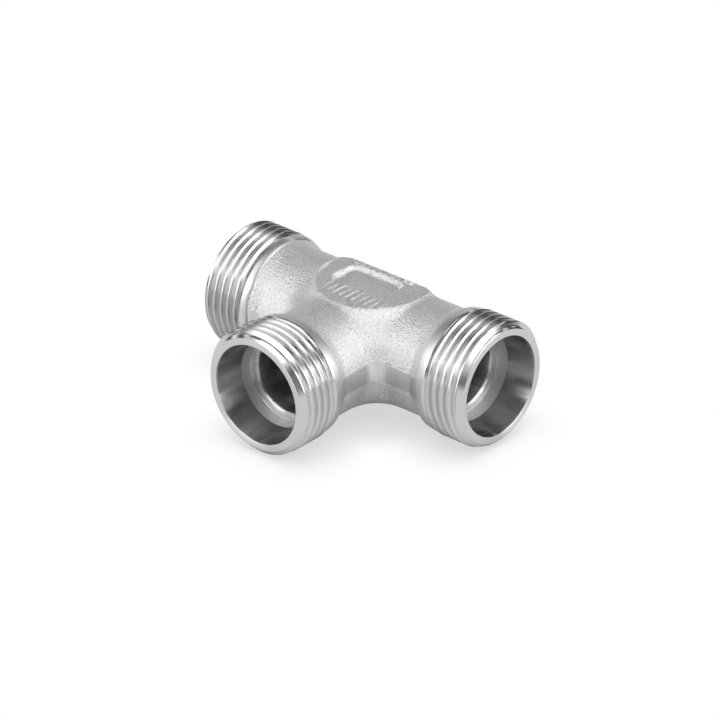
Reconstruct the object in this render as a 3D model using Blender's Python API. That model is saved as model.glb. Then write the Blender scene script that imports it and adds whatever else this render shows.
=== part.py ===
"""Compression tee body for 15 mm tube: a forged three-way body with turned and threaded ends.

One solid. The run lies along X, the branch points to -Y and the marking pad faces +Z.
The shape is worked out about the point where the port axes cross. The finished body is
then placed so that it rests on its thread crests, with its footprint centred on the origin.
"""

import math
from dataclasses import dataclass

import bmesh
import bpy
from mathutils import Vector

MM = 0.001
UP = Vector((0, 0, 1))

# Reach of the end faces from the crossing of the port axes
RUN_REACH = 28.0 * MM
BRANCH_REACH = 28.0 * MM

# Inside of a port: 24 degree cone, tube socket, stop shoulder and bore
TUBE_DIAMETER = 15.0 * MM
TUBE_CLEARANCE = 0.2 * MM
MOUTH_OVER_TUBE = 2.3 * MM
CONE_ANGLE = math.radians(24.0)
SOCKET_DEPTH = 7.2 * MM
BORE_DIAMETER = 12.1 * MM
BORE_EDGE_BREAK = 0.3 * MM

# Outside of a port: M22 x 1.5 thread, its run-out and the plain collar with a broken edge
THREAD_DIAMETER = 21.76 * MM
THREAD_PITCH = 1.5 * MM
THREAD_DEPTH = 0.85 * MM
THREAD_CREST_SHARE = 0.13
THREAD_ROOT_SHARE = 0.25
FACE_BELOW_ROOT = 0.21 * MM
FACE_CHAMFER_ANGLE = math.radians(45.0)
FULL_THREAD_LENGTH = 6.9 * MM
LEFT_FULL_THREAD_LENGTH = 7.7 * MM
RUNOUT_LENGTH = 0.9 * MM
RUNOUT_BELOW_CREST = 0.2 * MM
COLLAR_LENGTH = 1.45 * MM
COLLAR_BELOW_CREST = 0.38 * MM
COLLAR_EDGE_LENGTH = 0.5 * MM
COLLAR_EDGE_DROP = 0.25 * MM

# Forging: necks a little higher than wide, with the flash trimmed to a flat land at mid height.
# The blends are tight at the land and wide at the crown. A cone flares up to the turned length.
NECK_WIDTH = 18.4 * MM
NECK_HEIGHT = 19.2 * MM
FLASH_LAND_HEIGHT = 3.3 * MM
CROTCH_RADIUS = 2.7 * MM
CROWN_BLEND_RADIUS = 16.0 * MM
FLARE_LENGTH = 2.1 * MM
FLARE_BLEND_SHARE = 0.3
FLARE_BELOW_COLLAR = 0.1 * MM

# Marking pad on top, its recess and its ribbed borders
PAD_LENGTH = 20.0 * MM
PAD_CENTRE_X = 0.6 * MM
PAD_BACK_REACH = 4.25 * MM
PAD_FRONT_REACH = 9.6 * MM
PAD_BACK_CORNER = 2.6 * MM
PAD_RISE = 0.15 * MM
PAD_EDGE_BREAK = 0.3 * MM
PAD_DRAFT = math.radians(15.0)
PAD_ROOT_DEPTH = 5.0 * MM
RECESS_LENGTH = 11.8 * MM
RECESS_WIDTH = 6.0 * MM
RECESS_CENTRE_X = 0.45 * MM
RECESS_CENTRE_Y = -0.6 * MM
RECESS_CORNER = 1.5 * MM
RECESS_DEPTH = 0.6 * MM
RECESS_DRAFT = math.radians(35.0)
RIB_PITCH = 1.3 * MM
RIB_COUNT = 10
RIB_WIDTH = 0.5 * MM
RIB_HEIGHT = 0.15 * MM
RIB_MARGIN = 0.35 * MM
RIB_FRONT_REACH = 7.1 * MM
FRONT_RIBS_CENTRE_X = 1.6 * MM
BACK_RIBS_CENTRE_X = 0.3 * MM

# Fineness of the mesh, all even shares of a turn or of an arc
CROWN_SEGMENTS = 18
LAND_SEGMENTS = 2
BLEND_SEGMENTS = 4
NECK_SEGMENTS = 2
FLARE_SEGMENTS = 4
CORNER_SEGMENTS = 5
PAD_FRONT_SEGMENTS = 28

CUTTER_OVERRUN = 1.0 * MM
WELD_DISTANCE = 0.0005 * MM

HALF_WIDTH = NECK_WIDTH / 2
HALF_HEIGHT = NECK_HEIGHT / 2
THREAD_RADIUS = THREAD_DIAMETER / 2
FACE_RADIUS = THREAD_RADIUS - THREAD_DEPTH - FACE_BELOW_ROOT
RUNOUT_RADIUS = THREAD_RADIUS - RUNOUT_BELOW_CREST
COLLAR_RADIUS = THREAD_RADIUS - COLLAR_BELOW_CREST
COLLAR_END_RADIUS = COLLAR_RADIUS - COLLAR_EDGE_DROP
FLARE_RADIUS = COLLAR_END_RADIUS - FLARE_BELOW_COLLAR
COLLAR_END = FULL_THREAD_LENGTH + RUNOUT_LENGTH + COLLAR_LENGTH
TURNED_LENGTH = COLLAR_END + COLLAR_EDGE_LENGTH
BORE_RADIUS = BORE_DIAMETER / 2
SOCKET_RADIUS = (TUBE_DIAMETER + TUBE_CLEARANCE) / 2
MOUTH_RADIUS = (TUBE_DIAMETER + MOUTH_OVER_TUBE) / 2
PAD_TOP = HALF_HEIGHT + PAD_RISE
PAD_WAIST_Y = PAD_BACK_REACH - PAD_BACK_CORNER
LAND_ANGLE = math.acos(FLASH_LAND_HEIGHT / NECK_HEIGHT)


@dataclass(frozen=True)
class SectionPoint:
    """A point of the ring round an arm.

    turned_angle is its angle from the top on a true circle. On the forging the same point has
    its side, its angle from the nearer crown, and its level: 1 on the upper crown, -1 on the
    lower one and a share between them on the flat land.
    """

    turned_angle: float
    side: int
    crown_angle: float
    level: float


@dataclass(frozen=True)
class Arm:
    """One of the three arms. A side is open where another arm leaves it in a crotch.

    thread_start is how far from the end face a crest would stand at the top, as a share of the pitch.
    """

    direction: Vector
    reach: float
    open_sides: tuple
    thread_start: float
    full_thread: float

    @property
    def thread_end(self):
        return self.full_thread + RUNOUT_LENGTH

    def place(self, along, lateral, height):
        side = UP.cross(self.direction)
        return self.direction * along + side * lateral + UP * height


ARMS = (
    Arm(Vector((1, 0, 0)), RUN_REACH, (-1,), 0.665, FULL_THREAD_LENGTH),
    Arm(Vector((-1, 0, 0)), RUN_REACH, (1,), 0.765, LEFT_FULL_THREAD_LENGTH),
    Arm(Vector((0, -1, 0)), BRANCH_REACH, (-1, 1), 0.11, FULL_THREAD_LENGTH),
)


def section_points():
    """The ring's points, down one side from the upper crown and up the other from the lower one."""
    steps = CROWN_SEGMENTS // 2
    points = []
    for side, start in ((1, 0.0), (-1, math.pi)):
        for step in range(steps):
            crown = LAND_ANGLE * step / steps
            points.append(SectionPoint(start + crown, side, crown, side))
        for step in range(LAND_SEGMENTS):
            share = step / LAND_SEGMENTS
            turned = start + LAND_ANGLE + (math.pi - 2 * LAND_ANGLE) * share
            points.append(SectionPoint(turned, side, LAND_ANGLE, side * (1 - 2 * share)))
        for step in range(steps):
            crown = LAND_ANGLE * (1 - step / steps)
            points.append(SectionPoint(start + math.pi - crown, side, crown, -side))
    return points


SECTION = section_points()


def turned_ring(arm, from_face, radius):
    """A true circle round the arm, a distance inwards from its end face."""
    along = arm.reach - from_face
    return [
        arm.place(along, radius * math.sin(p.turned_angle), radius * math.cos(p.turned_angle))
        for p in SECTION
    ]


def mitred_ring(arm, radius):
    """Where a bore of this radius meets the others: on the mitre planes, and square across a closed side."""
    ring = []
    for p in SECTION:
        lateral = radius * math.sin(p.turned_angle)
        along = abs(lateral) if p.side in arm.open_sides else 0.0
        ring.append(arm.place(along, lateral, radius * math.cos(p.turned_angle)))
    return ring


def forged_ring(arm, from_face, half_width, half_height):
    """The forging's section: an ellipse, cut flat at the sides where the flash was trimmed."""
    along = arm.reach - from_face
    return [
        arm.place(
            along,
            p.side * half_width * math.sin(p.crown_angle),
            half_height * math.cos(p.crown_angle) * p.level,
        )
        for p in SECTION
    ]


def blend_radius(crown_angle):
    """Radius of the blend between two arms, easing from the crown down to the crotch at the land."""
    share = crown_angle / LAND_ANGLE
    eased = share * share * (3 - 2 * share)
    return CROWN_BLEND_RADIUS + (CROTCH_RADIUS - CROWN_BLEND_RADIUS) * eased


def junction_point(crown_angle, share, is_open):
    """A point of an arm's root as (along, lateral, height), before it is stretched to the neck's height.

    On an open side a ball rolls against both arms: share 0 is the mitre plane between them and
    share 1 is where the ball touches this arm. On a closed side the arm runs straight to the middle.
    """
    lean, rise = math.sin(crown_angle), math.cos(crown_angle)
    blend = blend_radius(crown_angle)
    if not is_open:
        return Vector((share * (HALF_WIDTH + blend) * lean, HALF_WIDTH * lean, HALF_WIDTH * rise))
    centre = Vector((lean, lean, rise)) * (HALF_WIDTH + blend)
    touching = Vector((0, lean, rise))
    mitre = (touching + Vector((lean, 0, rise))).normalized()
    return centre - blend * mitre.slerp(touching, share)


def junction_ring(arm, share):
    """The ring where the arm grows out of the junction, from its seam (share 0) to its plain neck (share 1)."""
    ring = []
    for p in SECTION:
        along, lateral, height = junction_point(p.crown_angle, share, p.side in arm.open_sides)
        ring.append(arm.place(along, p.side * lateral, height * HALF_HEIGHT / HALF_WIDTH * p.level))
    return ring


def between(first, second, share):
    """The ring that lies a share of the way from one ring to another."""
    return [a.lerp(b, share) for a, b in zip(first, second)]


def add_strip(mesh, rings, turn_shift=0):
    """Faces between successive rings. A helical strip meets itself a few rings on after a turn."""
    rows = [[mesh.verts.new(point) for point in ring] for ring in rings]
    count = len(SECTION)
    for row in range(len(rows) - 1):
        for column in range(count):
            shift = turn_shift if column == count - 1 else 0
            if row + 1 + shift >= len(rows):
                continue
            after = (column + 1) % count
            corners = (
                rows[row][column],
                rows[row + 1][column],
                rows[row + 1 + shift][after],
                rows[row + shift][after],
            )
            mesh.faces.new(corners)


def finish_mesh(mesh, name):
    """Welds the strips into one closed surface and turns it into an object."""
    bmesh.ops.remove_doubles(mesh, verts=mesh.verts, dist=WELD_DISTANCE)
    bmesh.ops.recalc_face_normals(mesh, faces=mesh.faces)
    data = bpy.data.meshes.new(name)
    mesh.to_mesh(data)
    mesh.free()
    made = bpy.data.objects.new(name, data)
    bpy.context.scene.collection.objects.link(made)
    return made


def thread_radius(arm, from_face, place_in_pitch):
    """Radius of the threaded surface: a trapezoid thread held between the face chamfer and the run-out."""
    from_crest = abs((place_in_pitch + 0.5) % 1.0 - 0.5)
    flank = (from_crest - THREAD_CREST_SHARE / 2) / (0.5 - (THREAD_CREST_SHARE + THREAD_ROOT_SHARE) / 2)
    depth = THREAD_DEPTH * min(max(flank, 0.0), 1.0)
    chamfer = FACE_RADIUS + from_face * math.tan(FACE_CHAMFER_ANGLE)
    fade = min(max((from_face - arm.full_thread) / RUNOUT_LENGTH, 0.0), 1.0)
    threaded = THREAD_RADIUS - depth
    return min(threaded + (RUNOUT_RADIUS - threaded) * fade, chamfer)


def thread_rings(arm):
    """Rings along the helix of a right-hand thread, drawn together at the face and at the run-out."""
    half_crest = THREAD_CREST_SHARE / 2
    half_root = THREAD_ROOT_SHARE / 2
    marks = (half_crest, 0.5 - half_root, 0.5 + half_root, 1 - half_crest)
    turns = math.ceil(arm.thread_end / THREAD_PITCH) + 2
    rings = []
    for turn in range(-2, turns):
        for mark in marks:
            ring = []
            for p in SECTION:
                turned = p.turned_angle / math.tau + arm.thread_start
                from_face = min(max((turn + mark + turned) * THREAD_PITCH, 0.0), arm.thread_end)
                place = from_face / THREAD_PITCH - turned
                radius = thread_radius(arm, from_face, place)
                lateral = radius * math.sin(p.turned_angle)
                height = radius * math.cos(p.turned_angle)
                ring.append(arm.place(arm.reach - from_face, lateral, height))
            rings.append(ring)
    return rings, len(marks)


def flare_rise(share):
    """How far the flare has risen at a share of its length: a blend out of the neck, then a cone."""
    if share < FLARE_BLEND_SHARE:
        rise = share * share / (2 * FLARE_BLEND_SHARE)
    else:
        rise = share - FLARE_BLEND_SHARE / 2
    return rise / (1 - FLARE_BLEND_SHARE / 2)


def flare_ring(arm, share):
    """The forging's section between the neck (share 0) and the turned length (share 1), where it is round."""
    rise = flare_rise(share)
    half_width = HALF_WIDTH + (FLARE_RADIUS - HALF_WIDTH) * rise
    half_height = HALF_HEIGHT + (FLARE_RADIUS - HALF_HEIGHT) * rise
    return forged_ring(arm, TURNED_LENGTH + FLARE_LENGTH * (1 - share), half_width, half_height)


def add_outer_arm(mesh, arm):
    """The outside of one arm, from its seam in the junction out to its end face."""
    rings = [junction_ring(arm, step / BLEND_SEGMENTS) for step in range(BLEND_SEGMENTS + 1)]
    neck_start = rings[-1]
    neck_end = flare_ring(arm, 0.0)
    for step in range(1, NECK_SEGMENTS):
        rings.append(between(neck_start, neck_end, step / NECK_SEGMENTS))
    rings += [flare_ring(arm, step / FLARE_SEGMENTS) for step in range(FLARE_SEGMENTS + 1)]
    rings.append(turned_ring(arm, TURNED_LENGTH, COLLAR_END_RADIUS))
    rings.append(turned_ring(arm, COLLAR_END, COLLAR_RADIUS))
    rings.append(turned_ring(arm, arm.thread_end, RUNOUT_RADIUS))
    add_strip(mesh, rings)
    helix, marks_in_pitch = thread_rings(arm)
    add_strip(mesh, helix, marks_in_pitch)
    mesh.faces.new([mesh.verts.new(point) for point in turned_ring(arm, 0.0, FACE_RADIUS)])


def make_forging():
    """The body before it is bored: three arms that meet in blended crotches."""
    mesh = bmesh.new()
    for arm in ARMS:
        add_outer_arm(mesh, arm)
    return finish_mesh(mesh, "tee_body")


def make_bores():
    """The cutter for all three ports: bores that meet, stop shoulders, tube sockets and cones."""
    mesh = bmesh.new()
    slope = math.tan(CONE_ANGLE / 2)
    cone_depth = (MOUTH_RADIUS - SOCKET_RADIUS) / slope
    profile = (
        (SOCKET_DEPTH + BORE_EDGE_BREAK, BORE_RADIUS),
        (SOCKET_DEPTH, BORE_RADIUS + BORE_EDGE_BREAK),
        (SOCKET_DEPTH, SOCKET_RADIUS),
        (cone_depth, SOCKET_RADIUS),
        (-CUTTER_OVERRUN, MOUTH_RADIUS + CUTTER_OVERRUN * slope),
    )
    for arm in ARMS:
        rings = [mitred_ring(arm, BORE_RADIUS)]
        rings += [turned_ring(arm, from_face, radius) for from_face, radius in profile]
        add_strip(mesh, rings)
        mesh.faces.new([mesh.verts.new(point) for point in rings[-1]])
    return finish_mesh(mesh, "bores")


def corner_arc(centre_x, centre_y, radius, start, stop):
    """Points of a round corner, from one angle to another."""
    angles = [start + (stop - start) * step / CORNER_SEGMENTS for step in range(CORNER_SEGMENTS + 1)]
    return [(centre_x + radius * math.cos(a), centre_y + radius * math.sin(a)) for a in angles]


def pad_outline(grown):
    """The pad seen from above: a straight back with round corners and a half ellipse in front."""
    half = PAD_LENGTH / 2
    centre_x = half - PAD_BACK_CORNER
    corner = PAD_BACK_CORNER + grown
    points = corner_arc(PAD_CENTRE_X + centre_x, PAD_WAIST_Y, corner, 0, math.pi / 2)
    points += corner_arc(PAD_CENTRE_X - centre_x, PAD_WAIST_Y, corner, math.pi / 2, math.pi)
    front = PAD_FRONT_REACH + PAD_WAIST_Y + grown
    for step in range(1, PAD_FRONT_SEGMENTS):
        angle = math.pi + math.pi * step / PAD_FRONT_SEGMENTS
        x = PAD_CENTRE_X + (half + grown) * math.cos(angle)
        points.append((x, PAD_WAIST_Y + front * math.sin(angle)))
    return points


def pad_front(x):
    """Where the top of the pad ends in front at this x."""
    across = (x - PAD_CENTRE_X) / (PAD_LENGTH / 2 - PAD_EDGE_BREAK)
    front = PAD_FRONT_REACH + PAD_WAIST_Y - PAD_EDGE_BREAK
    return PAD_WAIST_Y - front * math.sqrt(max(0.0, 1 - across * across))


def recess_outline(grown):
    """The recess seen from above: a rectangle with round corners."""
    half_x = RECESS_LENGTH / 2 - RECESS_CORNER
    half_y = RECESS_WIDTH / 2 - RECESS_CORNER
    corner = RECESS_CORNER + grown
    quarter = math.pi / 2
    points = []
    for turn, (side_x, side_y) in enumerate(((1, 1), (-1, 1), (-1, -1), (1, -1))):
        x = RECESS_CENTRE_X + side_x * half_x
        y = RECESS_CENTRE_Y + side_y * half_y
        points += corner_arc(x, y, corner, turn * quarter, (turn + 1) * quarter)
    return points


def lofted_plate(name, outline, layers):
    """A closed solid through copies of an outline, each grown by its own amount at its own height."""
    mesh = bmesh.new()
    loops = []
    for grown, height in layers:
        loops.append([mesh.verts.new((x, y, height)) for x, y in outline(grown)])
    for lower, upper in zip(loops, loops[1:]):
        for here in range(len(lower)):
            after = (here + 1) % len(lower)
            mesh.faces.new((lower[here], lower[after], upper[after], upper[here]))
    mesh.faces.new(loops[0])
    mesh.faces.new(loops[-1])
    return finish_mesh(mesh, name)


def make_pad():
    """The raised pad, rooted in the forging, with drafted sides and a broken upper edge."""
    shoulder = PAD_TOP - PAD_EDGE_BREAK
    root_growth = PAD_ROOT_DEPTH * math.tan(PAD_DRAFT)
    layers = (
        (root_growth, shoulder - PAD_ROOT_DEPTH),
        (0.0, shoulder),
        (-PAD_EDGE_BREAK, PAD_TOP),
    )
    return lofted_plate("pad", pad_outline, layers)


def make_recess():
    """The cutter for the marking recess, which is left plain inside."""
    draft = math.tan(RECESS_DRAFT)
    layers = (
        (-RECESS_DEPTH * draft, PAD_TOP - RECESS_DEPTH),
        (CUTTER_OVERRUN * draft, PAD_TOP + CUTTER_OVERRUN),
    )
    return lofted_plate("recess", recess_outline, layers)


def add_rib(mesh, x, front, back):
    """One low ridge along Y, with its foot in the pad."""
    sunk = PAD_TOP - RIB_HEIGHT
    section = ((x - RIB_WIDTH, sunk), (x + RIB_WIDTH, sunk), (x, PAD_TOP + RIB_HEIGHT))
    ends = [[mesh.verts.new((side, y, height)) for side, height in section] for y in (front, back)]
    mesh.faces.new(ends[0])
    mesh.faces.new(ends[1])
    for here in range(3):
        after = (here + 1) % 3
        mesh.faces.new((ends[0][here], ends[0][after], ends[1][after], ends[1][here]))


def make_ribs():
    """Fine ribs on both borders of the recess. They stop short of the recess and of the pad's edge."""
    mesh = bmesh.new()
    from_centre = RECESS_WIDTH / 2 + RIB_MARGIN
    for number in range(RIB_COUNT):
        offset = (number - (RIB_COUNT - 1) / 2) * RIB_PITCH
        x = FRONT_RIBS_CENTRE_X + offset
        front = max(-RIB_FRONT_REACH, pad_front(x) + RIB_MARGIN)
        add_rib(mesh, x, front, RECESS_CENTRE_Y - from_centre)
        back = PAD_BACK_REACH - PAD_EDGE_BREAK - RIB_MARGIN
        add_rib(mesh, BACK_RIBS_CENTRE_X + offset, RECESS_CENTRE_Y + from_centre, back)
    return finish_mesh(mesh, "ribs")


def combine(body, other, operation):
    """Adds the Boolean that joins or cuts with another shape, which stays as a hidden guide."""
    other.hide_render = True
    other.display_type = "WIRE"
    other.parent = body
    modifier = body.modifiers.new(other.name, "BOOLEAN")
    modifier.object = other
    modifier.operation = operation


def stainless_steel():
    """Blasted stainless steel, brighter where it is turned."""
    material = bpy.data.materials.new("stainless_steel")
    material.use_nodes = True
    shader = material.node_tree.nodes["Principled BSDF"]
    shader.inputs["Base Color"].default_value = (0.56, 0.56, 0.55, 1.0)
    shader.inputs["Metallic"].default_value = 1.0
    shader.inputs["Roughness"].default_value = 0.38
    return material


def main():
    for obj in list(bpy.data.objects):
        bpy.data.objects.remove(obj)
    body = make_forging()
    combine(body, make_pad(), "UNION")
    combine(body, make_ribs(), "UNION")
    combine(body, make_recess(), "DIFFERENCE")
    combine(body, make_bores(), "DIFFERENCE")
    body.data.materials.append(stainless_steel())
    body.data.shade_smooth()
    body.data.set_sharp_from_angle(angle=math.radians(30.0))
    body.location = (0.0, (BRANCH_REACH - THREAD_RADIUS) / 2, THREAD_RADIUS)


main()
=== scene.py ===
"""Compression tee body in stainless steel, dressed for a product photograph.

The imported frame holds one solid, tee_body. It is replaced here by four finer pieces that stand
in its place: the bead-blasted forging, and the bright turned end of each of its three ports.
Shapes are worked out about the point where the port axes cross, as whole numpy arrays, and are
then moved to where the frame has them. All lengths are in metres.
"""

import logging
import math
from dataclasses import dataclass, field
from enum import IntEnum

import bpy
import numpy as np
from mathutils import Matrix


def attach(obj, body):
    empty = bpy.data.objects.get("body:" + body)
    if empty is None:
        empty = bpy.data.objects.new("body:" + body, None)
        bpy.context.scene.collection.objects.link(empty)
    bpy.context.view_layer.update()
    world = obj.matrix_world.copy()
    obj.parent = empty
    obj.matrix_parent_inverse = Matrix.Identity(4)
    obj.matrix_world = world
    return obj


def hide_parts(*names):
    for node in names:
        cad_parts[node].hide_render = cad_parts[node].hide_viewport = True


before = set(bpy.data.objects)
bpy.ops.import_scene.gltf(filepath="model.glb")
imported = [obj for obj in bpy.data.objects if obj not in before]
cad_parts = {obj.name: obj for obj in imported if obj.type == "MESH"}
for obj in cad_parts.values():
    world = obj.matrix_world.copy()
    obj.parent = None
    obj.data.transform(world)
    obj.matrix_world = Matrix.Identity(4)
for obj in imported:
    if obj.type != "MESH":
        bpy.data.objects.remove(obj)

MM = 0.001
NODE = "tee_body"
BODY = "root"
# Points closer together than this become one.
WELD = 0.0004 * MM
# The smallest turn of a blend, so that none divides by zero.
TINY = 1e-9
log = logging.getLogger("tee")

Array = np.ndarray


class ForgingSlot(IntEnum):
    """The forging's material slots. The bores follow from FIRST_BORE, in the order of ARMS."""

    SKIN = 0
    LAND = 1
    FIRST_BORE = 2


class EndSlot(IntEnum):
    """The material slots of a turned end: thread and face, tube socket, cone and stop, collar."""

    OUTSIDE = 0
    SOCKET = 1
    CONE = 2
    COLLAR = 3


@dataclass(frozen=True)
class PortSizes:
    """One port: the M22 x 1.5 thread outside, and the cone, socket and bore inside."""

    thread_radius: float = 10.88 * MM
    pitch: float = 1.5 * MM
    thread_depth: float = 0.85 * MM
    crest_share: float = 0.13
    root_share: float = 0.25
    face_below_root: float = 0.21 * MM
    runout: float = 0.9 * MM
    runout_below_crest: float = 0.2 * MM
    collar_end: float = 9.25 * MM
    collar_below_crest: float = 0.38 * MM
    collar_edge: float = 0.5 * MM
    collar_edge_drop: float = 0.25 * MM
    socket_radius: float = 7.6 * MM
    mouth_radius: float = 8.65 * MM
    cone_angle: float = math.radians(12.0)
    socket_depth: float = 7.2 * MM
    bore_radius: float = 6.05 * MM
    bore_edge: float = 0.3 * MM

    @property
    def face_radius(self) -> float:
        """Radius of the outer edge of the flat end face."""
        return self.thread_radius - self.thread_depth - self.face_below_root

    @property
    def turned_length(self) -> float:
        """Length of the whole turned end."""
        return self.collar_end + self.collar_edge

    @property
    def cone_end(self) -> float:
        """Distance from the end face to where the cone meets the socket."""
        return (self.mouth_radius - self.socket_radius) / math.tan(self.cone_angle)

    @property
    def end_radius(self) -> float:
        """Radius of the turned end where it meets the forging."""
        return self.thread_radius - self.collar_below_crest - self.collar_edge_drop


@dataclass(frozen=True)
class ForgingSizes:
    """The forged middle: oval necks, a trimmed flash land, blended crotches and flares."""

    half_width: float = 9.2 * MM
    half_height: float = 9.6 * MM
    land_height: float = 3.3 * MM
    crotch_radius: float = 2.7 * MM
    crown_radius: float = 16.0 * MM
    flare_length: float = 2.1 * MM
    flare_blend: float = 0.3
    flare_below_collar: float = 0.1 * MM

    @property
    def land_angle(self) -> float:
        """Angle from the crown down to the edge of the flat land."""
        return math.acos(self.land_height / 2 / self.half_height)


@dataclass(frozen=True)
class PadSizes:
    """The D-shaped marking pad on top, with its plain recess and two rows of ribs."""

    length: float = 20.0 * MM
    centre_x: float = 0.6 * MM
    back: float = 4.25 * MM
    front: float = 9.6 * MM
    back_corner: float = 2.6 * MM
    rise: float = 0.15 * MM
    draft: float = math.radians(28.0)
    edge_round: float = 0.26 * MM
    foot_round: float = 1.5 * MM
    foot_fade: float = 0.5 * MM
    recess_length: float = 10.6 * MM
    recess_width: float = 5.9 * MM
    recess_x: float = -0.15 * MM
    recess_y: float = -0.6 * MM
    recess_corner: float = 1.5 * MM
    recess_depth: float = 0.82 * MM
    recess_draft: float = math.radians(32.0)
    recess_foot_round: float = 0.2 * MM
    recess_edge_round: float = 0.24 * MM
    rib_pitch: float = 1.3 * MM
    rib_count: int = 10
    rib_half_width: float = 0.3 * MM
    rib_height: float = 0.22 * MM
    rib_margin: float = 0.4 * MM
    rib_edge_share: float = 0.6
    rib_fade: float = 0.25 * MM
    rib_front: float = -7.1 * MM
    front_ribs_x: float = 1.6 * MM
    back_ribs_x: float = 0.3 * MM

    @property
    def recess_wall(self) -> float:
        """Width of the recess's sloping wall, seen from above."""
        return self.recess_depth * math.tan(self.recess_draft)


@dataclass(frozen=True)
class Arm:
    """One of the three arms, by its direction in the plane of the axes.

    open_sides are the sides that face another arm: 1 is left of the arm's direction and -1 right.
    thread_start is how far from the end face a crest would stand at the top, as a share of the
    pitch. full_thread is the length of thread before its run-out.
    """

    name: str
    axis: tuple[float, float]
    open_sides: tuple[int, ...]
    thread_start: float
    full_thread: float = 6.9 * MM
    reach: float = 28.0 * MM

    def place(self, along: Array, lateral: Array, height: Array) -> Array:
        """Turns distances from the arm's axis into points about the crossing of the axes.

        Args:
            along: distances along the axis.
            lateral: distances to its left.
            height: distances above it.

        Returns:
            The points, in arrays of the same shape with 3 coordinates each.
        """
        ax, ay = self.axis
        along, lateral, height = np.broadcast_arrays(along, lateral, height)
        return np.stack([along * ax - lateral * ay, along * ay + lateral * ax, height], axis=-1)


ARMS = (
    Arm("right", (1.0, 0.0), (-1,), 0.665),
    Arm("left", (-1.0, 0.0), (1,), 0.765, 7.7 * MM),
    Arm("branch", (0.0, -1.0), (-1, 1), 0.11),
)


def crossing(port: PortSizes) -> Array:
    """Where the port axes cross in the frame: the footprint is centred and the crests touch z = 0."""
    return np.array([0.0, (ARMS[2].reach - port.thread_radius) / 2, port.thread_radius])


def eased(share: Array) -> Array:
    """A share that leaves 0 and reaches 1 without a corner: 3 s^2 - 2 s^3, kept between 0 and 1."""
    share = np.clip(share, 0.0, 1.0)
    return share * share * (3 - 2 * share)


def soft_max(first: Array, second: Array, width: float) -> Array:
    """The larger of two heights, with the corner where they meet filled over this width."""
    near = np.maximum(width - np.abs(first - second), 0.0) / width
    return np.maximum(first, second) + near * near * width / 4


def soft_min(first: Array, second: Array, width: float) -> Array:
    """The smaller of two heights, with the corner where they meet rounded over this width."""
    return -soft_max(-first, -second, width)


class Skin:
    """A surface gathered from grids of points, welded where they meet and made one object."""

    def __init__(self) -> None:
        """Starts with no grids."""
        self.points: list[Array] = []
        self.faces: list[Array] = []
        self.marks: list[Array] = []
        self.count = 0

    def add(self, grid: Array, mark: Array | int = 0) -> None:
        """Adds a grid of points as two triangles a cell.

        Args:
            grid: rows x columns x 3 points.
            mark: the material index of each cell, or of all.
        """
        rows, columns = grid.shape[:2]
        index = self.count + np.arange(rows * columns).reshape(rows, columns)
        a, b = index[:-1, :-1], index[1:, :-1]
        c, d = index[1:, 1:], index[:-1, 1:]
        cells = np.stack([a, b, c, a, c, d], axis=-1).reshape(-1, 3)
        marks = np.broadcast_to(mark, a.shape).reshape(-1)
        self.points.append(grid.reshape(-1, 3))
        self.faces.append(cells)
        self.marks.append(np.repeat(marks, 2))
        self.count += rows * columns

    def build(self, name: str, offset: Array, sharp: float) -> bpy.types.Object:
        """Welds the grids and makes the object.

        Args:
            name: the object's name.
            offset: where the crossing of the axes lies in the frame.
            sharp: angle in radians past which an edge stays sharp.

        Returns:
            The object, at the origin, with outward faces.
        """
        points = np.concatenate(self.points)
        faces = np.concatenate(self.faces)
        marks = np.concatenate(self.marks)
        keys = np.round(points / WELD).astype(np.int64)
        _, first, group = np.unique(keys, axis=0, return_index=True, return_inverse=True)
        faces = group.reshape(-1)[faces]
        kept = (faces != np.roll(faces, 1, axis=1)).all(axis=1)
        faces, marks, points = faces[kept], marks[kept], points[first]
        corners = points[faces]
        volume = np.einsum("ij,ij->", corners[:, 0], np.cross(corners[:, 1], corners[:, 2]))
        if volume < 0:
            faces = faces[:, ::-1]
        mesh = bpy.data.meshes.new(name)
        mesh.vertices.add(len(points))
        mesh.vertices.foreach_set("co", (points + offset).astype(np.float32).ravel())
        mesh.loops.add(faces.size)
        mesh.loops.foreach_set("vertex_index", faces.astype(np.int32).ravel())
        mesh.polygons.add(len(faces))
        mesh.polygons.foreach_set("loop_start", np.arange(0, faces.size, 3, dtype=np.int32))
        mesh.polygons.foreach_set("material_index", marks.astype(np.int32))
        mesh.update(calc_edges=True)
        mesh.validate()
        mesh.shade_smooth()
        mesh.set_sharp_from_angle(angle=sharp)
        made = bpy.data.objects.new(name, mesh)
        bpy.context.scene.collection.objects.link(made)
        return made


def convex_distance(x: Array, y: Array, outline: Array) -> Array:
    """Signed distance to a convex outline: the furthest that a point lies past any of its sides.

    Args:
        x: the points' x.
        y: the points' y.
        outline: the outline's corners, anticlockwise, n x 2.

    Returns:
        The distances, negative inside.
    """
    after = np.roll(outline, -1, axis=0)
    side = after - outline
    side /= np.linalg.norm(side, axis=1, keepdims=True)
    normal = np.stack([side[:, 1], -side[:, 0]], axis=1)
    from_origin = (normal * outline).sum(axis=1)
    reach = np.full(np.shape(x), -np.inf)
    for (nx, ny), start in zip(normal, from_origin):
        np.maximum(reach, x * nx + y * ny - start, out=reach)
    return reach


def arc(x: float, y: float, radius: float, start: float, stop: float, count: int = 12) -> Array:
    """Points of a round corner, without its last one."""
    angle = np.linspace(start, stop, count, endpoint=False)
    return np.stack([x + radius * np.cos(angle), y + radius * np.sin(angle)], axis=1)


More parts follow.
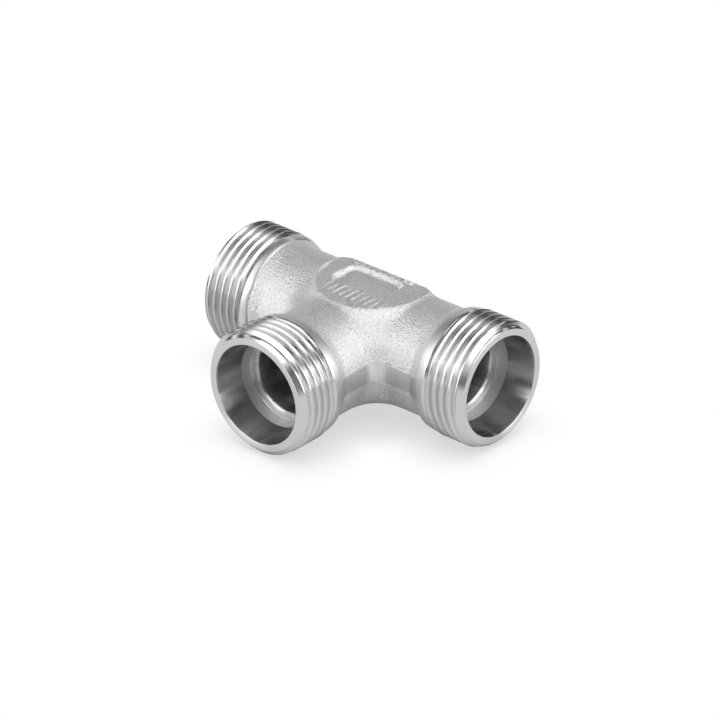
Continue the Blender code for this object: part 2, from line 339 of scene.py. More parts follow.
@dataclass
class MarkingPad:
    """The height of the pad over the plan of the body, as one function of x and y."""

    sizes: PadSizes
    crown: float
    front_points: int = 64

    @property
    def top(self) -> float:
        """Height of the pad's flat."""
        return self.crown + self.sizes.rise

    def outline(self) -> Array:
        """The D seen from above: a straight back with round corners and a half ellipse in front.

        Returns:
            Its corners, anticlockwise, n x 2.
        """
        s = self.sizes
        waist = s.back - s.back_corner
        reach = s.length / 2 - s.back_corner
        angle = np.linspace(math.pi, math.tau, self.front_points, endpoint=False)
        front_x = s.centre_x + s.length / 2 * np.cos(angle)
        front_y = waist + (s.front + waist) * np.sin(angle)
        return np.concatenate([
            arc(s.centre_x + reach, waist, s.back_corner, 0, math.pi / 2),
            arc(s.centre_x - reach, waist, s.back_corner, math.pi / 2, math.pi),
            np.stack([front_x, front_y], axis=1),
        ])

    def recess(self) -> Array:
        """The recess's floor seen from above: a rectangle with round corners.

        Returns:
            Its corners, anticlockwise, n x 2.
        """
        s = self.sizes
        half_x = s.recess_length / 2 - s.recess_corner
        half_y = s.recess_width / 2 - s.recess_corner
        quarter = math.pi / 2
        corners = []
        for turn, (sx, sy) in enumerate(((1, 1), (-1, 1), (-1, -1), (1, -1))):
            x, y = s.recess_x + sx * half_x, s.recess_y + sy * half_y
            corners.append(arc(x, y, s.recess_corner, turn * quarter, (turn + 1) * quarter))
        return np.concatenate(corners)

    def ribs(self, x: Array, y: Array, from_edge: Array) -> Array:
        """Height of the ribs: a rounded ridge every pitch in each row, fading out at its ends.

        Args:
            x: the points' x.
            y: the points' y.
            from_edge: their distances from the pad's outline, negative inside.

        Returns:
            The height that the ribs add at each point.
        """
        s = self.sizes
        half_recess = s.recess_width / 2 + s.recess_wall
        rows = (
            (s.front_ribs_x, s.rib_front, s.recess_y - half_recess),
            (s.back_ribs_x, s.recess_y + half_recess, s.back - s.rib_margin),
        )
        total = np.zeros(np.shape(x))
        for centre, low, high in rows:
            place = (x - centre) / s.rib_pitch + (s.rib_count - 1) / 2
            number = np.clip(np.round(place), 0, s.rib_count - 1)
            beside = np.abs(place - number) * s.rib_pitch / s.rib_half_width
            ridge = eased(1 - beside)
            in_row = np.minimum(y - low, high - y)
            ends = np.minimum(in_row, -from_edge - s.rib_margin * s.rib_edge_share)
            total += s.rib_height * ridge * eased(ends / s.rib_fade + 0.5)
        return total

    def shape(self, points: Array) -> Array:
        """Raises and cuts the forging's upper points.

        The pad's height is its flat, falling at its draft outside the outline. Where it is above
        the forging the surface follows it, over a filled corner. The recess's height is its floor,
        rising at its own draft outside its outline, and the surface is never above it.

        Args:
            points: rows x columns x 3 points about the crossing of the axes.

        Returns:
            The points with their heights changed.
        """
        s = self.sizes
        x, y, z = points[..., 0], points[..., 1], points[..., 2]
        from_edge = convex_distance(x, y, self.outline())
        past = (from_edge + np.sqrt(from_edge**2 + s.edge_round**2)) / 2
        pad = self.top - past / math.tan(s.draft)
        height = soft_max(z, pad, s.foot_round)
        inside = eased(-from_edge / s.foot_fade)
        height = height + (np.maximum(z, pad) - height) * inside
        height = height + self.ribs(x, y, from_edge)
        from_recess = convex_distance(x, y, self.recess())
        rise = (from_recess + np.sqrt(from_recess**2 + s.recess_foot_round**2)) / 2
        floor = self.top - s.recess_depth + rise / math.tan(s.recess_draft)
        height = soft_min(height, floor, s.recess_edge_round)
        shaped = points.copy()
        shaped[..., 2] = np.where(z > 0, height, z)
        return shaped


@dataclass
class Section:
    """The ring round an arm: from the upper crown down its left and up its right.

    Each column has its angle from the nearer crown, its side, its level (1 above the land, -1
    below it, between them on it) and the angle at which it stands round a bore.
    """

    land_angle: float
    upper: int = 84
    upper_fine: int = 63
    fine_share: float = 0.62
    land: int = 2
    lower: int = 16
    crown: Array = field(init=False)
    side: Array = field(init=False)
    level: Array = field(init=False)
    turned: Array = field(init=False)
    on_land: Array = field(init=False)

    def __post_init__(self) -> None:
        """Lays out the columns. Near the crown they are closer, for the pad."""
        bend = self.land_angle
        fine = np.linspace(0, self.fine_share, self.upper_fine, endpoint=False)
        coarse = np.linspace(self.fine_share, 1, self.upper - self.upper_fine, endpoint=False)
        upper = bend * np.concatenate([fine, coarse])
        level = np.linspace(1, -1, self.land, endpoint=False)
        lower = bend * np.linspace(1, 0, self.lower + 1)
        crown = np.concatenate([upper, np.full(self.land, bend), lower])
        height = np.concatenate([np.ones(self.upper), level, -np.ones(self.lower + 1)])
        turned_land = bend + (math.pi - 2 * bend) * (1 - level) / 2
        turned = np.concatenate([upper, turned_land, math.pi - lower])
        on_land = np.zeros(len(crown) - 1, dtype=bool)
        on_land[self.upper : self.upper + self.land] = True
        self.crown = np.concatenate([crown, crown[-2::-1]])
        self.level = np.concatenate([height, height[-2::-1]])
        self.turned = np.concatenate([turned, math.tau - turned[-2::-1]])
        self.side = np.concatenate([np.ones(len(crown)), -np.ones(len(crown) - 1)])
        self.on_land = np.concatenate([on_land, on_land[::-1]])


@dataclass
class Forging:
    """The bead-blasted middle of the body, with its bores.

    pad_reach is how far along an arm its rows are close enough for the pad. sunk is how far the
    hidden end of the forging stands inside the turned end.
    """

    sizes: ForgingSizes
    port: PortSizes
    pad: MarkingPad
    junction_rows: int = 20
    pad_rows: int = 104
    neck_rows: int = 8
    flare_rows: int = 10
    bore_rows: int = 14
    pad_reach: float = 11.4 * MM
    sunk: float = 0.2 * MM
    sharp: float = math.radians(40.0)

    def blend(self, crown: Array) -> Array:
        """Radius of the rolling ball between two arms: wide at the crown, tight at the land."""
        s = self.sizes
        return s.crown_radius + (s.crotch_radius - s.crown_radius) * eased(crown / s.land_angle)

    def junction(self, arm: Arm, ring: Section) -> tuple[Array, Array, Array]:
        """The root of an arm, from its seam with its neighbours to its plain neck.

        On an open side a ball touches both arms. Its contact turns from the mitre plane between
        them to this arm, and the surface is the ball's centre less the turned contact. On a
        closed side the arm runs straight to the middle.

        Args:
            arm: the arm.
            ring: its section.

        Returns:
            Distances along, beside and above the axis, each rows x columns.
        """
        s = self.sizes
        share = np.linspace(0, 1, self.junction_rows)[:, None]
        lean, rise = np.sin(ring.crown)[None, :], np.cos(ring.crown)[None, :]
        ball = self.blend(ring.crown)[None, :]
        touching = np.stack(np.broadcast_arrays(0 * lean, lean, rise), axis=-1)
        other = np.stack(np.broadcast_arrays(lean, 0 * lean, rise), axis=-1)
        mitre = touching + other
        mitre /= np.linalg.norm(mitre, axis=-1, keepdims=True)
        turn = np.arccos(np.clip((mitre * touching).sum(axis=-1), -1, 1))[..., None]
        turn = np.maximum(turn, TINY)
        part = share[..., None]
        contact = np.sin((1 - part) * turn) * mitre + np.sin(part * turn) * touching
        contact /= np.sin(turn)
        centre = np.stack(np.broadcast_arrays(lean, lean, rise), axis=-1)
        centre = centre * (s.half_width + ball)[..., None]
        blended = centre - ball[..., None] * contact
        along, lateral, height = np.moveaxis(blended, -1, 0)
        open_side = np.isin(ring.side, arm.open_sides)[None, :]
        along = np.where(open_side, along, share * (s.half_width + ball) * lean)
        lateral = np.where(open_side, lateral, s.half_width * lean)
        height = np.where(open_side, height, s.half_width * rise)
        stretched = height * s.half_height / s.half_width * ring.level[None, :]
        return along, lateral * ring.side[None, :], stretched

    def outside(self, arm: Arm, ring: Section) -> Array:
        """All the rings of an arm's outside, from its seam to just inside its turned end.

        Args:
            arm: the arm.
            ring: its section.

        Returns:
            rows x columns x 3 points.
        """
        s = self.sizes
        along, lateral, height = self.junction(arm, ring)
        neck_end = arm.reach - self.port.turned_length - s.flare_length
        split = self.pad_reach / neck_end
        steps = np.concatenate([
            np.linspace(0, split, self.pad_rows, endpoint=False)[1:],
            np.linspace(split, 1, self.neck_rows),
        ])[:, None]
        neck_along = along[-1] + (neck_end - along[-1]) * steps
        neck_side = np.broadcast_to(lateral[-1], neck_along.shape)
        neck_height = np.broadcast_to(height[-1], neck_along.shape)
        share = np.linspace(0, 1, self.flare_rows + 1)[1:, None]
        hollow = s.flare_blend
        rise = np.where(share < hollow, share**2 / (2 * hollow), share - hollow / 2)
        rise /= 1 - hollow / 2
        top = self.port.end_radius - s.flare_below_collar
        wide = (s.half_width + (top - s.half_width) * rise) * np.sin(ring.crown) * ring.side
        high = (s.half_height + (top - s.half_height) * rise) * np.cos(ring.crown) * ring.level
        flare_along = np.broadcast_to(neck_end + s.flare_length * share, wide.shape)
        last = np.full((1, wide.shape[1]), arm.reach - self.port.turned_length + self.sunk)
        return arm.place(
            np.concatenate([along, neck_along, flare_along, last]),
            np.concatenate([lateral, neck_side, wide, wide[-1:]]),
            np.concatenate([height, neck_height, high, high[-1:]]),
        )

    def inside(self, arm: Arm, ring: Section) -> Array:
        """The bore of an arm, from its seam on the mitre planes, and the hidden end of the forging.

        Args:
            arm: the arm.
            ring: its section.

        Returns:
            rows x columns x 3 points.
        """
        radius = self.port.bore_radius
        end = arm.reach - self.port.turned_length
        lateral = radius * np.sin(ring.turned)[None, :]
        height = radius * np.cos(ring.turned)[None, :]
        seam = np.where(np.isin(ring.side, arm.open_sides)[None, :], np.abs(lateral), 0.0)
        share = np.linspace(0, 1, self.bore_rows)[:, None]
        along = seam + (end - seam) * share
        bore = arm.place(along, lateral + 0 * along, height + 0 * along)
        wider = 1 + self.sunk / radius
        mouth = arm.place(end + self.sunk + 0 * lateral, lateral * wider, height * wider)
        return np.concatenate([bore, mouth])

    def build(self, offset: Array) -> bpy.types.Object:
        """Makes the forging's object.

        Args:
            offset: where the crossing of the axes lies in the frame.

        Returns:
            The object, with the slots of ForgingSlot.
        """
        ring = Section(self.sizes.land_angle)
        skin = Skin()
        for slot, arm in enumerate(ARMS, start=ForgingSlot.FIRST_BORE):
            outer = self.pad.shape(self.outside(arm, ring))
            inner = self.inside(arm, ring)
            skin.add(outer, np.where(ring.on_land, ForgingSlot.LAND, ForgingSlot.SKIN)[None, :])
            skin.add(np.stack([outer[-1], inner[-1]]), slot)
            skin.add(inner[::-1], slot)
        return skin.build("forged_body", offset, self.sharp)


@dataclass
class TurnedEnd:
    """The bright turned end of one port, a closed sleeve with a right-hand thread.

    A profile is a row of pairs: the distance from the end face and the radius. near is how close
    to a corner a further pair stands, so that the shading stays crisp there. The two shares of
    the pitch say the same of the thread's corners and how far its inner rows stand from them.
    """

    arm: Arm
    port: PortSizes
    columns: int = 168
    fillet: float = 0.12 * MM
    near: float = 0.04 * MM
    corner_share: float = 0.014
    crest_row_share: float = 0.12
    root_row_share: float = 0.1
    sharp: float = math.radians(38.0)

    @property
    def thread_end(self) -> float:
        """Distance from the end face to where the thread has run out."""
        return self.arm.full_thread + self.port.runout

    def rings(self, profile: Array) -> Array:
        """Turns a profile round the arm's axis.

        Args:
            profile: the profile's pairs, n x 2.

        Returns:
            n x columns x 3 points.
        """
        angle = np.linspace(0, math.tau, self.columns + 1)[None, :]
        radius = profile[:, 1:2]
        along = self.arm.reach - profile[:, :1] + 0 * angle
        return self.arm.place(along, radius * np.sin(angle), radius * np.cos(angle))

    def thread_radius(self, depth: Array, place: Array) -> Array:
        """Radius of the thread.

        A trapezoid of crest, flank and root is cut down to the chamfer near the face. Past the
        full thread it fades into the run-out.

        Args:
            depth: distance from the end face.
            place: place in the pitch, 0 on the middle of a crest.

        Returns:
            The radius.
        """
        p = self.port
        from_crest = np.abs((place + 0.5) % 1.0 - 0.5)
        flank = (from_crest - p.crest_share / 2) / (0.5 - (p.crest_share + p.root_share) / 2)
        thread = p.thread_radius - p.thread_depth * np.clip(flank, 0, 1)
        fade = eased((depth - self.arm.full_thread) / p.runout)
        runout = p.thread_radius - p.runout_below_crest
        return np.minimum(thread + (runout - thread) * fade, p.face_radius + depth)

    def thread(self) -> Array:
        """The helix: rows follow the crest, flanks and root round, and are held between its ends.

        Returns:
            rows x columns x 3 points.
        """
        p = self.port
        half_crest, half_root = p.crest_share / 2, p.root_share / 2
        soft, below_crest, above_root = self.corner_share, self.crest_row_share, self.root_row_share
        root_start, root_end, next_crest = 0.5 - half_root, 0.5 + half_root, 1 - half_crest
        marks = np.array([
            -half_crest + soft, half_crest - soft, half_crest + soft, half_crest + below_crest,
            root_start - above_root, root_start - soft, root_start + soft * 2, 0.5,
            root_end - soft * 2, root_end + soft, root_end + above_root,
            next_crest - below_crest, next_crest - soft,
        ])
        turns = math.ceil(self.thread_end / p.pitch) + 2
        rows = (np.arange(-2, turns)[:, None] + marks[None, :]).reshape(-1, 1)
        angle = np.linspace(0, math.tau, self.columns + 1)[None, :]
        turned = angle / math.tau + self.arm.thread_start
        depth = np.clip((rows + turned) * p.pitch, 0, self.thread_end)
        radius = self.thread_radius(depth, depth / p.pitch - turned)
        along = self.arm.reach - depth
        return self.arm.place(along, radius * np.sin(angle), radius * np.cos(angle))

    def socket_profile(self) -> Array:
        """The tube socket, up to the cone.

        Returns:
            Its profile, n x 2.
        """
        p = self.port
        last_plain = p.cone_end + 0.3 * MM
        socket = np.linspace(p.socket_depth - self.fillet, last_plain, 5)
        socket = np.concatenate([socket, [p.cone_end + self.near, p.cone_end]])
        return np.stack([socket, np.full(len(socket), p.socket_radius)], axis=1)

    def stop_profile(self) -> Array:
        """The end of the bore, its broken edge and the stop shoulder with the fillet at its foot.

        Returns:
            Their profile, n x 2.
        """
        p = self.port
        near = self.near
        corner = np.linspace(0, math.pi / 2, 5)
        stop = np.stack([
            p.socket_depth - self.fillet * (1 - np.cos(corner)),
            p.socket_radius - self.fillet * (1 - np.sin(corner)),
        ], axis=1)
        edge_start = p.socket_depth + p.bore_edge
        edge_end = p.bore_radius + p.bore_edge
        edge = np.array([
            [p.turned_length, p.bore_radius],
            [edge_start + near, p.bore_radius],
            [edge_start - near, p.bore_radius + near],
            [p.socket_depth + near, edge_end - near],
            [p.socket_depth, edge_end + near],
        ])
        return np.concatenate([edge, stop])

    def cone_profile(self) -> Array:
        """The cone, from the socket to the mouth.

        Returns:
            Its profile, n x 2.
        """
        p = self.port
        first_plain, mouth_edge = p.cone_end - 0.4 * MM, 0.1 * MM
        plain = np.linspace(first_plain, mouth_edge, 8)
        cone = np.concatenate([[p.cone_end, p.cone_end - self.near], plain])
        return np.stack([cone, p.mouth_radius - cone * math.tan(p.cone_angle)], axis=1)

    def mouth_profile(self) -> Array:
        """The slightly broken edge of the mouth and the end face.

        Returns:
            Their profile, n x 2.
        """
        p = self.port
        break_start, break_end, inside_edge = 0.02 * MM, 0.06 * MM, 0.03 * MM
        return np.array([
            self.cone_profile()[-1],
            [break_start, p.mouth_radius + break_start],
            [0.0, p.mouth_radius + break_end],
            [0.0, p.face_radius - inside_edge],
            [0.0, p.face_radius],
        ])

    def outer_profile(self) -> Array:
        """The plain collar behind the thread, its broken edge and the hidden back of the sleeve.

        Returns:
            Their profile, n x 2.
        """
        p = self.port
        start = p.thread_radius - p.runout_below_crest
        collar = p.thread_radius - p.collar_below_crest
        edge = p.collar_end
        half_corner, corner_drop = 0.05 * MM, 0.03 * MM
        back_corner, back_lift, back_drop = 0.06 * MM, 0.02 * MM, 0.05 * MM
        return np.array([
            [self.thread_end, start],
            [(self.thread_end + edge) / 2, (start + collar) / 2],
            [edge - half_corner, collar],
            [edge + half_corner, collar - corner_drop],
            [p.turned_length - back_corner, p.end_radius + back_lift],
            [p.turned_length, p.end_radius - back_drop],
            [p.turned_length, p.bore_radius],
        ])

    def build(self, offset: Array) -> bpy.types.Object:
        """Makes the end's object.

        Args:
            offset: where the crossing of the axes lies in the frame.

        Returns:
            The object, with the slots of EndSlot.
        """
        skin = Skin()
        skin.add(self.rings(self.stop_profile()), EndSlot.CONE)
        skin.add(self.rings(self.socket_profile()), EndSlot.SOCKET)
        skin.add(self.rings(self.cone_profile()), EndSlot.CONE)
        skin.add(self.rings(self.mouth_profile()), EndSlot.OUTSIDE)
        skin.add(self.thread(), EndSlot.OUTSIDE)
        skin.add(self.rings(self.outer_profile()), EndSlot.COLLAR)
        return skin.build(f"turned_end_{self.arm.name}", offset, self.sharp)


def linear(hex_colour: str) -> tuple[float, float, float, float]:
    """Turns an sRGB colour into linear values.

    Args:
        hex_colour: the colour, such as "#c8c8c6".

    Returns:
        Red, green and blue as linear values, and full alpha.
    """
    value = np.array([int(hex_colour[i : i + 2], 16) for i in (1, 3, 5)]) / 255
    low, high = value / 12.92, ((value + 0.055) / 1.055) ** 2.4
    return (*np.where(value <= 0.04045, low, high).tolist(), 1.0)


class Nodes:
    """A material or world's node tree, to which nodes are added with their settings and links."""

    def __init__(self, owner: bpy.types.Material | bpy.types.World) -> None:
        """Empties a tree.

        Args:
            owner: the material or world whose tree it is.
        """
        owner.use_nodes = True
        self.tree = owner.node_tree
        self.tree.nodes.clear()

    def add(self, kind: str, links: dict | None = None, **settings: object) -> bpy.types.Node:
        """Adds one node.

        Args:
            kind: the node's type name.
            links: input name or number to a socket that feeds it, or to its value.
            settings: properties of the node.

        Returns:
            The node.
        """
        node = self.tree.nodes.new(kind)
        for name, value in settings.items():
            setattr(node, name, value)
        for name, value in (links or {}).items():
            if isinstance(value, bpy.types.NodeSocket):
                self.tree.links.new(value, node.inputs[name])
            else:
                node.inputs[name].default_value = value
        return node

    def mix(self, share: bpy.types.NodeSocket, first: object, second: object) -> bpy.types.NodeSocket:
        """Mixes two colours.

        Args:
            share: how much of the second there is.
            first: a colour, or a socket that gives one.
            second: the same.

        Returns:
            The socket of the mixed colour.
        """
        links = {"Factor": share, "A": first, "B": second}
        return self.add("ShaderNodeMix", links, data_type="RGBA").outputs["Result"]


@dataclass(frozen=True)
class BlastedSteel:
    """Stainless forging after bead blasting: an even, matt skin that still gleams.

    It has small pits, darkened with painted shade where they are deep, and under them the faint
    unevenness of the forging. Both are noise, at so many lumps a metre.
    """

    name: str = "bead_blasted_stainless_forging"
    colour: str = "#eeeeee"
    darker: str = "#e2e2e2"
    pit_shade: str = "#c4c4c4"
    roughness: float = 0.5
    pits_per_metre: float = 3000.0
    pit_depth: float = 0.4 * MM
    waves_per_metre: float = 330.0
    wave_depth: float = 0.25 * MM

    def material(self) -> bpy.types.Material:
        """Pits of about 0.3 mm, with painted shade where they are deep, over waves of about 3 mm.

        Returns:
            The material.
        """
        made = bpy.data.materials.new(self.name)
        nodes = Nodes(made)
        place = nodes.add("ShaderNodeTexCoord").outputs["Object"]
        pits = nodes.add("ShaderNodeTexNoise", {
            "Vector": place, "Scale": self.pits_per_metre, "Detail": 3.0, "Roughness": 0.6,
        }).outputs["Fac"]
        skin = nodes.add(
            "ShaderNodeMapRange",
            {"Value": pits, "From Min": 0.3, "From Max": 0.5},
            interpolation_type="SMOOTHSTEP",
        ).outputs[0]
        waves = nodes.add("ShaderNodeTexNoise", {
            "Vector": place, "Scale": self.waves_per_metre, "Detail": 4.0, "Roughness": 0.55,
        }).outputs["Fac"]
        shade = nodes.mix(waves, linear(self.darker), linear(self.colour))
        # Painted shade: the deep part of each pit takes the darker pit colour.
        colour = nodes.mix(skin, linear(self.pit_shade), shade)
        low = nodes.add("ShaderNodeBump", {
            "Height": waves, "Distance": self.wave_depth, "Strength": 0.35,
        }).outputs[0]
        fine = nodes.add("ShaderNodeBump", {
            "Height": pits, "Distance": self.pit_depth, "Strength": 0.65, "Normal": low,
        }).outputs[0]
        shader = nodes.add("ShaderNodeBsdfPrincipled", {
            "Base Color": colour, "Metallic": 1.0, "Roughness": self.roughness, "Normal": fine,
        }).outputs[0]
        nodes.add("ShaderNodeOutputMaterial", {"Surface": shader})
        return made


@dataclass(frozen=True)
class TurnedSteel:
    """Stainless steel off the lathe: bright, with fine tool rings round the port's axis.

    The rings are too fine to show one by one. They smear each reflection along the axis and leave
    it sharp round it, so the light stands in clear bands that run lengthwise. Where a tool was
    drawn back out, as in a bore, it left lengthwise marks in a second tone about 2 mm apart; these
    lighter streaks also stand in as painted reflection of the light that reaches into the hole. lay
    is the distance between rings, and depth says how much of ring_height they have.
    """

    name: str
    arm: Arm
    offset: tuple[float, float, float]
    colour: str = "#cbcbcb"
    roughness: float = 0.27
    smear: float = 0.9
    lay: float = 0.14 * MM
    depth: float = 0.1
    ring_height: float = 0.02 * MM
    radius_share: float = 0.8
    marks_and_reflections: str = ""
    marks_per_metre: float = 450.0

    def material(self) -> bpy.types.Material:
        """Rings at even steps of the distance along the axis plus a share of the radius.

        So they go round every face, also a flat one.

        Returns:
            The material.
        """
        made = bpy.data.materials.new(self.name)
        nodes = Nodes(made)
        place = nodes.add("ShaderNodeTexCoord").outputs["Object"]
        away = {0: place, 1: self.offset}
        moved = nodes.add("ShaderNodeVectorMath", away, operation="SUBTRACT").outputs[0]
        pair = {0: moved, 1: (*self.arm.axis, 0.0)}
        along = nodes.add("ShaderNodeVectorMath", pair, operation="DOT_PRODUCT").outputs["Value"]
        round_it = nodes.add("ShaderNodeVectorMath", pair, operation="CROSS_PRODUCT").outputs[0]
        radius = nodes.add("ShaderNodeVectorMath", {0: round_it}, operation="LENGTH").outputs["Value"]
        terms = {0: radius, 1: self.radius_share, 2: along}
        both = nodes.add("ShaderNodeMath", terms, operation="MULTIPLY_ADD").outputs[0]
        rings = nodes.add(
            "ShaderNodeTexNoise",
            {"W": both, "Scale": 1 / self.lay, "Detail": 3.0, "Roughness": 0.65},
            noise_dimensions="1D",
        ).outputs["Fac"]
        bump = nodes.add("ShaderNodeBump", {
            "Height": rings, "Distance": self.ring_height, "Strength": self.depth,
        }).outputs[0]
        colour = linear(self.colour)
        # The lighter lengthwise streaks are partly tool marks and partly painted reflection.
        if self.marks_and_reflections:
            marks = nodes.add("ShaderNodeTexNoise", {
                "Vector": round_it, "Scale": self.marks_per_metre, "Detail": 3.0,
            }).outputs["Fac"]
            share = nodes.add("ShaderNodeMapRange", {
                "Value": marks, "From Min": 0.5, "From Max": 0.66,
            }).outputs[0]
            colour = nodes.mix(share, colour, linear(self.marks_and_reflections))
        shader = nodes.add("ShaderNodeBsdfPrincipled", {
            "Base Color": colour, "Metallic": 1.0, "Roughness": self.roughness,
            "Anisotropic": self.smear, "Anisotropic Rotation": 0.25, "Tangent": round_it,
            "Normal": bump,
        }).outputs[0]
        nodes.add("ShaderNodeOutputMaterial", {"Surface": shader})
        return made


@dataclass(frozen=True)
class TrimmedSteel:
    """Stainless steel where a press trimmed off the flash, with the tool's upright drag marks."""

    name: str = "trimmed_flash_stainless"
    colour: str = "#e6e6e6"
    darker: str = "#d2d2d2"
    roughness: float = 0.42
    marks_per_metre: float = 1400.0
    mark_depth: float = 0.06 * MM

    def material(self) -> bpy.types.Material:
        """A smooth metal with upright marks about 0.7 mm apart, ten times as tall as they are wide.

        Returns:
            The material.
        """
        made = bpy.data.materials.new(self.name)
        nodes = Nodes(made)
        place = nodes.add("ShaderNodeTexCoord").outputs["Object"]
        stretch = {0: place, 1: (1.0, 1.0, 0.1)}
        drawn = nodes.add("ShaderNodeVectorMath", stretch, operation="MULTIPLY").outputs[0]
        marks = nodes.add("ShaderNodeTexNoise", {
            "Vector": drawn, "Scale": self.marks_per_metre, "Detail": 3.0,
        }).outputs["Fac"]
        bump = nodes.add("ShaderNodeBump", {
            "Height": marks, "Distance": self.mark_depth, "Strength": 0.25,
        }).outputs[0]
        shader = nodes.add("ShaderNodeBsdfPrincipled", {
            "Base Color": nodes.mix(marks, linear(self.darker), linear(self.colour)),
            "Metallic": 1.0, "Roughness": self.roughness, "Normal": bump,
        }).outputs[0]
        nodes.add("ShaderNodeOutputMaterial", {"Surface": shader})
        return made


Finish = BlastedSteel | TurnedSteel | TrimmedSteel


@dataclass(frozen=True)
class SoftBox:
    """One soft light of the studio, as the part of the room that it fills, in degrees.

    Azimuth 0 lies in front of the branch and 90 beyond the right end of the run.
    """

    azimuth: float
    half_width: float
    low: float
    high: float
    strength: float
    edge: float = 4.0


WHITE = (1.0, 1.0, 1.0, 1.0)
LIGHTS = (
    SoftBox(-22, 28, -10, 90, 2.15),
    SoftBox(7, 8, 20, 41, 4.3),
    SoftBox(112, 30, 21, 67, 1.52),
    SoftBox(101, 29, 3, 35, 3.32),
    SoftBox(-119, 54, 10, 16, 2.0),
    SoftBox(-146, 133, 30, 36, 1.9),
)


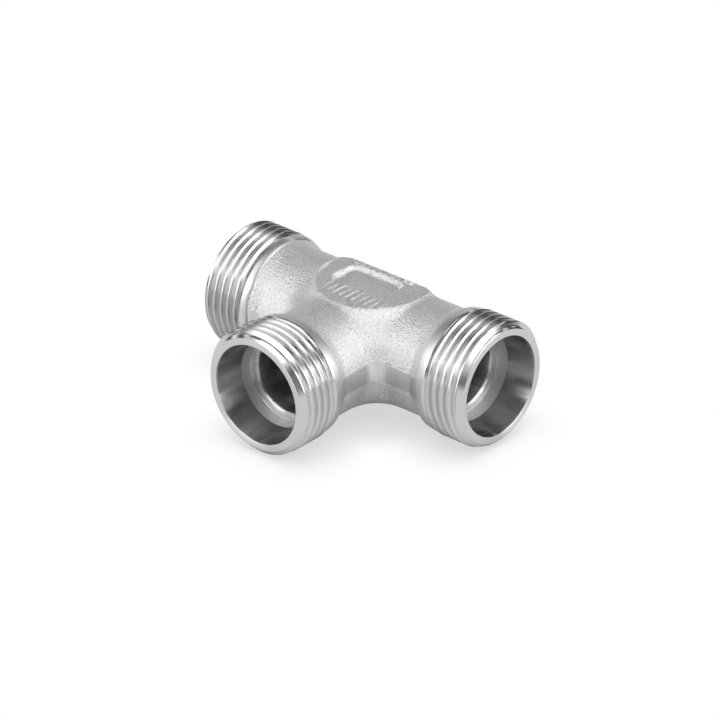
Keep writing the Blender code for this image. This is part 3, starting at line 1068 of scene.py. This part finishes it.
@dataclass
class Studio:
    """The white table, the soft light round it and the camera.

    shadow_reach is how close above the table a shape has to be for its painted shadow, and
    shadow_depth how dark that painted shadow is, as the lens sees it. The mirrored pair is for what
    the metal reflects.
    """

    centre: Array
    azimuth: float = math.radians(41.3014)
    elevation: float = math.radians(28.8259)
    roll: float = math.radians(-0.2123)
    distance: float = 736.1 * MM
    shift_right: float = -1.6625 * MM
    shift_up: float = -4.5655 * MM
    lens: float = 223.55
    sensor_width: float = 36.0
    table_half: float = 6.0
    table_colour: str = "#e6e6e6"
    dim: float = 0.02
    shadow_reach: float = 9 * MM
    shadow_depth: float = 0.36
    mirrored_reach: float = 20 * MM
    mirrored_depth: float = 0.8

    def camera(self) -> bpy.types.Object:
        """The camera at the photograph's angle: its axes are right, up and back, its lens is long.

        Returns:
            The camera.
        """
        az, el = self.azimuth, self.elevation
        back = np.array([math.sin(az) * math.cos(el), -math.cos(az) * math.cos(el), math.sin(el)])
        level = np.array([math.cos(az), math.sin(az), 0.0])
        upright = np.cross(back, level)
        right = math.cos(self.roll) * level + math.sin(self.roll) * upright
        up = math.cos(self.roll) * upright - math.sin(self.roll) * level
        aim = self.centre + self.shift_right * right + self.shift_up * up
        matrix = np.eye(4)
        matrix[:3, 0], matrix[:3, 1], matrix[:3, 2] = right, up, back
        matrix[:3, 3] = aim + self.distance * back
        data = bpy.data.cameras.new("camera")
        data.sensor_width, data.lens = self.sensor_width, self.lens
        data.clip_start, data.clip_end = 0.01, 50.0
        made = bpy.data.objects.new("camera", data)
        made.matrix_world = Matrix(matrix.tolist())
        bpy.context.scene.collection.objects.link(made)
        bpy.context.scene.camera = made
        return made

    def floor(self) -> bpy.types.Object:
        """A wide white table top at z = 0.

        The lens and the metal see it as plain white, with a painted shadow where the object stands
        close above: ambient occlusion darkens its glow.

        Returns:
            The table.
        """
        half = self.table_half
        mesh = bpy.data.meshes.new("table")
        corners = [(-half, -half, 0.0), (half, -half, 0.0), (half, half, 0.0), (-half, half, 0.0)]
        mesh.from_pydata(corners, [], [(0, 1, 2, 3)])
        made = bpy.data.objects.new("table", mesh)
        bpy.context.scene.collection.objects.link(made)
        material = bpy.data.materials.new("white_table")
        nodes = Nodes(material)
        ray = nodes.add("ShaderNodeLightPath").outputs
        by_lens = ray["Is Camera Ray"]
        seen = by_lens
        for kind in ("Is Glossy Ray", "Is Transmission Ray"):
            seen = nodes.add("ShaderNodeMath", {0: seen, 1: ray[kind]}, operation="MAXIMUM").outputs[0]
        paint = nodes.add("ShaderNodeBsdfDiffuse", {"Color": linear(self.table_colour)}).outputs[0]
        reach = nodes.add("ShaderNodeMapRange", {
            "Value": by_lens, "To Min": self.mirrored_reach, "To Max": self.shadow_reach,
        }).outputs[0]
        above = nodes.add("ShaderNodeAmbientOcclusion", {"Distance": reach}, samples=12)
        darkest = nodes.add("ShaderNodeMapRange", {
            "Value": by_lens, "To Min": 1 - self.mirrored_depth, "To Max": 1 - self.shadow_depth,
        }).outputs[0]
        # Painted shadow: the white glow is dimmed by ambient occlusion under and beside the object.
        shade = nodes.add(
            "ShaderNodeMapRange",
            {"Value": above.outputs["AO"], "To Min": darkest},
            interpolation_type="SMOOTHSTEP",
        ).outputs[0]
        white = nodes.add("ShaderNodeEmission", {"Color": WHITE, "Strength": shade}).outputs[0]
        both = nodes.add("ShaderNodeMixShader", {0: seen, 1: paint, 2: white}).outputs[0]
        nodes.add("ShaderNodeOutputMaterial", {"Surface": both})
        mesh.materials.append(material)
        return made

    def light(self) -> None:
        """The room: a dim world with the soft boxes.

        Each box is the product of three smooth steps, in azimuth from its middle and in elevation
        from its lower and upper edge.
        """
        world = bpy.data.worlds.new("studio")
        bpy.context.scene.world = world
        nodes = Nodes(world)
        way = nodes.add("ShaderNodeTexCoord").outputs["Generated"]
        split = nodes.add("ShaderNodeSeparateXYZ", {0: way}).outputs
        front = nodes.add("ShaderNodeMath", {0: split[1], 1: -1.0}, operation="MULTIPLY").outputs[0]
        azimuth = nodes.add("ShaderNodeMath", {0: split[0], 1: front}, operation="ARCTAN2").outputs[0]
        elevation = nodes.add("ShaderNodeMath", {0: split[2]}, operation="ARCSINE").outputs[0]
        total: float | bpy.types.NodeSocket = self.dim
        for box in LIGHTS:
            shift = {0: azimuth, 1: math.radians(box.azimuth)}
            shifted = nodes.add("ShaderNodeMath", shift, operation="SUBTRACT").outputs[0]
            turned = {0: shifted, 1: math.pi, 2: -math.pi}
            wrapped = nodes.add("ShaderNodeMath", turned, operation="WRAP").outputs[0]
            beside = nodes.add("ShaderNodeMath", {0: wrapped}, operation="ABSOLUTE").outputs[0]
            steps = ((beside, box.half_width, -1), (elevation, box.low, 1), (elevation, box.high, -1))
            light: float | bpy.types.NodeSocket = box.strength
            for value, mark, side in steps:
                step = nodes.add(
                    "ShaderNodeMapRange",
                    {
                        "Value": value,
                        "From Min": math.radians(mark - side * box.edge / 2),
                        "From Max": math.radians(mark + side * box.edge / 2),
                    },
                    interpolation_type="SMOOTHSTEP",
                ).outputs[0]
                pair = {0: light, 1: step}
                light = nodes.add("ShaderNodeMath", pair, operation="MULTIPLY").outputs[0]
            total = nodes.add("ShaderNodeMath", {0: total, 1: light}, operation="ADD").outputs[0]
        glow = nodes.add("ShaderNodeBackground", {"Color": WHITE, "Strength": total}).outputs[0]
        nodes.add("ShaderNodeOutputWorld", {"Surface": glow})

    def build(self) -> None:
        """Sets the stage."""
        self.camera()
        self.floor()
        self.light()
        bpy.context.scene.view_settings.view_transform = "Standard"


def end_finishes(arm: Arm, centre: tuple[float, float, float]) -> tuple[TurnedSteel, ...]:
    """The finishes of a turned end, in the order of EndSlot.

    Args:
        arm: the end's arm.
        centre: where the crossing of the axes lies in the frame.

    Returns:
        The finishes.
    """
    return (
        TurnedSteel(f"turned_stainless_{arm.name}", arm, centre),
        TurnedSteel(
            f"bored_socket_{arm.name}", arm, centre, "#f4f4f4",
            roughness=0.56, smear=0.5, depth=0.5,
        ),
        # The cone's lighter streaks are partly reaming marks and partly painted reflection.
        TurnedSteel(
            f"reamed_cone_{arm.name}", arm, centre, "#a6a6a6",
            roughness=0.26, depth=1.5, marks_and_reflections="#c4c4c4",
        ),
        TurnedSteel(f"turned_collar_{arm.name}", arm, centre, "#dadada", roughness=0.38, smear=0.8),
    )


def bore_finish(arm: Arm, centre: tuple[float, float, float]) -> TurnedSteel:
    """The finish of an arm's bore: darker than the end as painted shade of the hole, with lighter
    streaks that are partly the drill's marks and partly painted reflection.
    """
    name = f"bored_stainless_{arm.name}"
    # The dark colour is painted shade inside the hole; the light streaks are partly painted
    # reflection.
    return TurnedSteel(name, arm, centre, "#989898", roughness=0.36, smear=0.7, marks_and_reflections="#d8d8d8")


def dress(piece: bpy.types.Object, *finishes: Finish) -> None:
    """Gives a piece its materials, lets it ride on the body and reports it.

    Args:
        piece: the piece.
        finishes: one finish for each of its slots, in order.
    """
    for finish in finishes:
        piece.data.materials.append(finish.material())
    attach(piece, BODY)
    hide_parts(NODE)
    log.info("%s: %d triangles", piece.name, len(piece.data.polygons))


def main() -> None:
    """Builds the forging, the three turned ends and the studio."""
    logging.basicConfig(level=logging.INFO, format="%(name)s: %(message)s")
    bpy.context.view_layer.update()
    port, forged = PortSizes(), ForgingSizes()
    offset = crossing(port)
    pad = MarkingPad(PadSizes(), forged.half_height)
    centre = tuple(offset)
    body = Forging(forged, port, pad).build(offset)
    dress(body, BlastedSteel(), TrimmedSteel(), *(bore_finish(arm, centre) for arm in ARMS))
    for arm in ARMS:
        dress(TurnedEnd(arm, port).build(offset), *end_finishes(arm, centre))
    Studio(offset).build()


if __name__ == "__main__":
    main()
